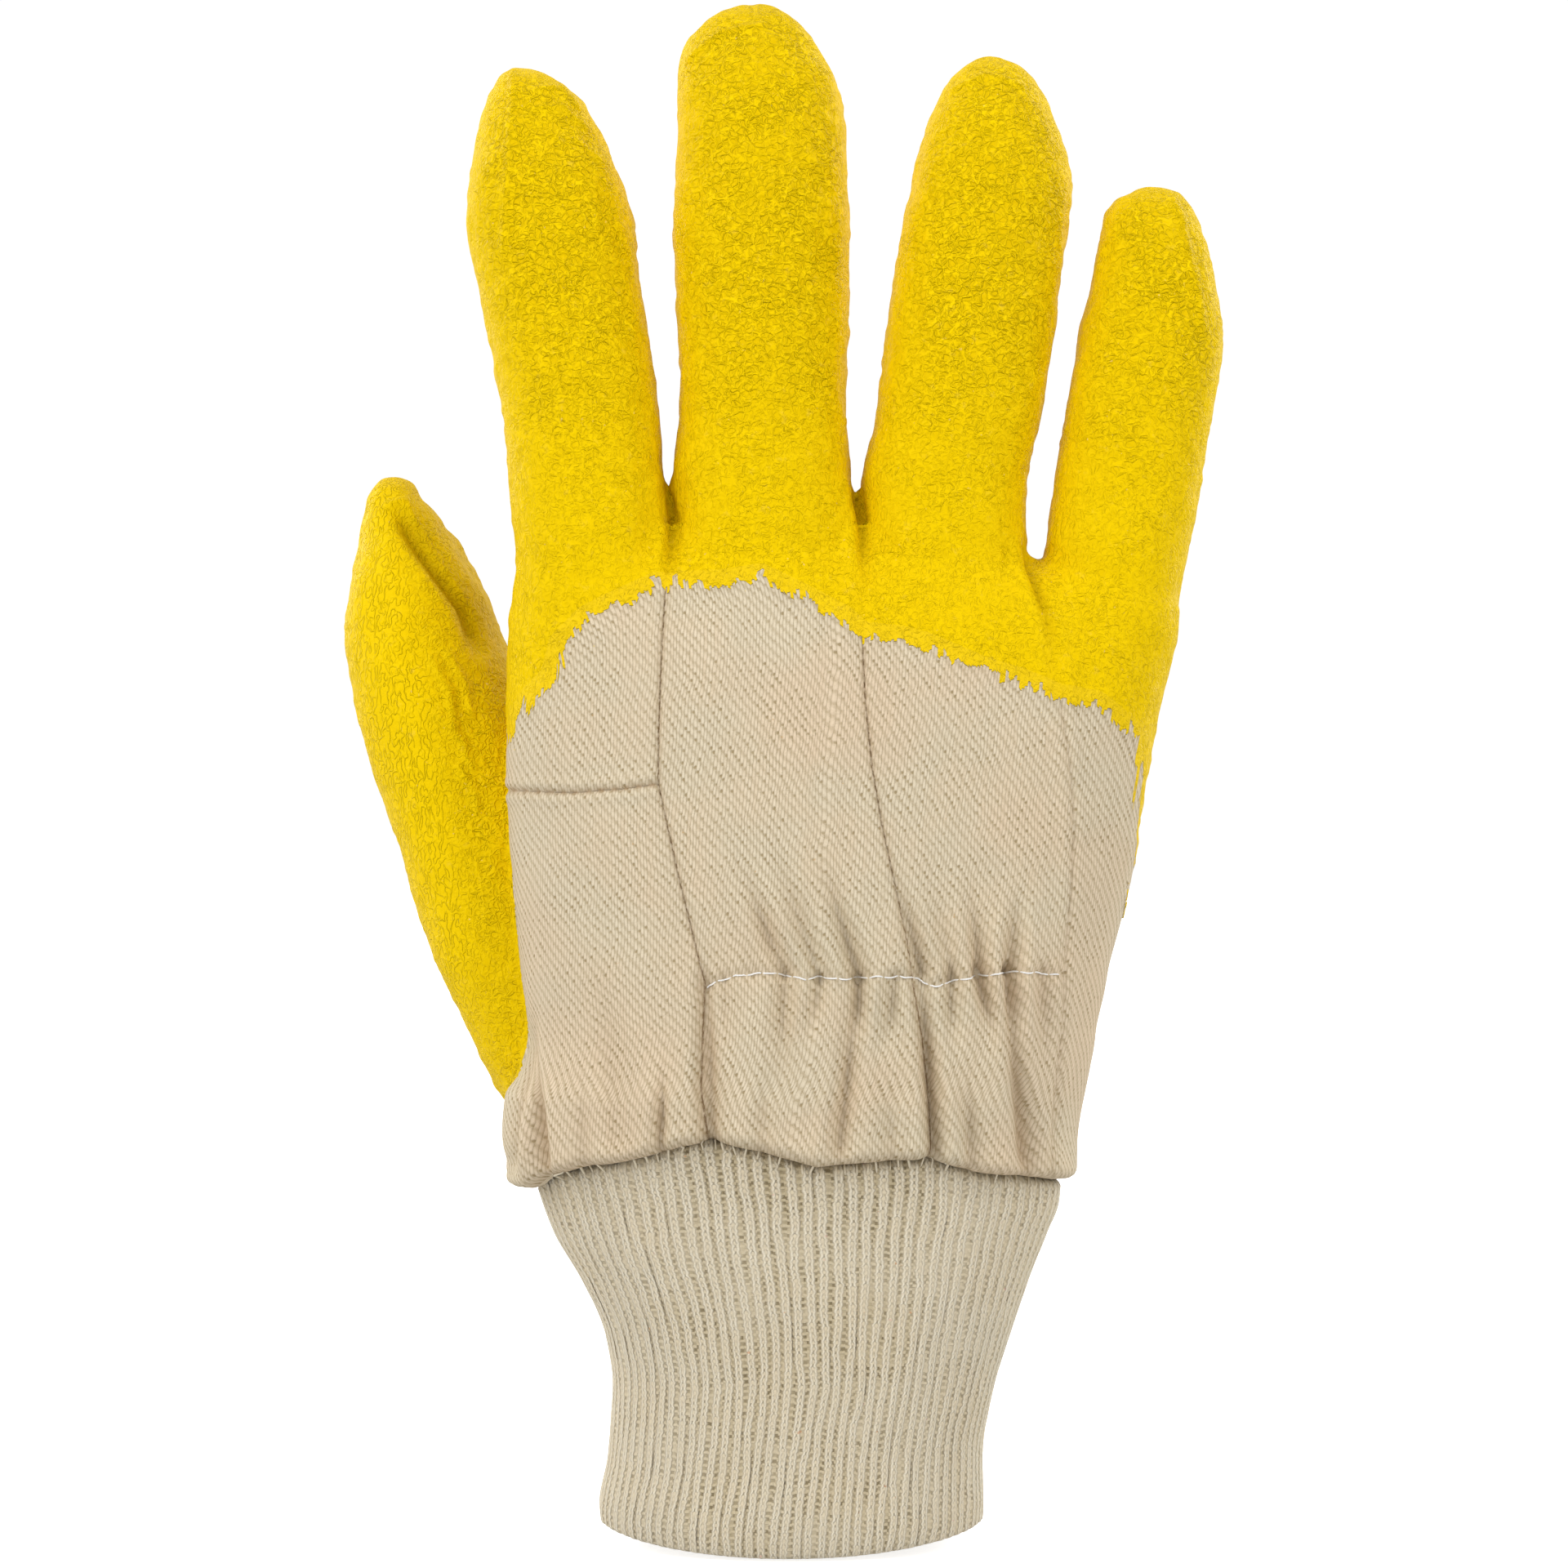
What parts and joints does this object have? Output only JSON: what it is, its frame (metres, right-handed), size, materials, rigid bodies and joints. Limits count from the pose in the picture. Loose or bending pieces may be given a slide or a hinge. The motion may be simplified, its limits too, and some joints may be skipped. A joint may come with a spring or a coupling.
{
  "type": "latex coated work glove",
  "caption": "Right-hand cotton work glove with a crinkle rubber coating on palm, fingers and thumb, a bare twill back and a ribbed knit cuff.",
  "frame": {"origin": "middle of the cuff's open lower end, in the plane of its rim", "axes": "+Z from the cuff to the fingertips, +X from the thumb's side to the little finger's, +Y from the back of the hand to the palm"},
  "size_m": [0.1511, 0.0587, 0.2622],
  "materials": {
    "latex": "crinkled, half matte yellow rubber coating",
    "cotton": "natural unbleached cotton twill",
    "knit": "natural cotton one by one rib knit"
  },
  "bodies": {
    "root": {"knit_cuff": "knit", "coated_palm": "latex", "index_finger_back": "latex", "middle_finger_back": "latex", "ring_finger_back": "latex", "little_finger_back": "latex", "thumb_back": "latex", "thumb_front": "latex", "index_knuckle_panel": "cotton", "index_back_panel": "cotton", "middle_back_panel": "cotton", "ring_back_panel": "cotton", "little_back_panel": "cotton", "palm_heel": "cotton"}
  },
  "joints": []
}
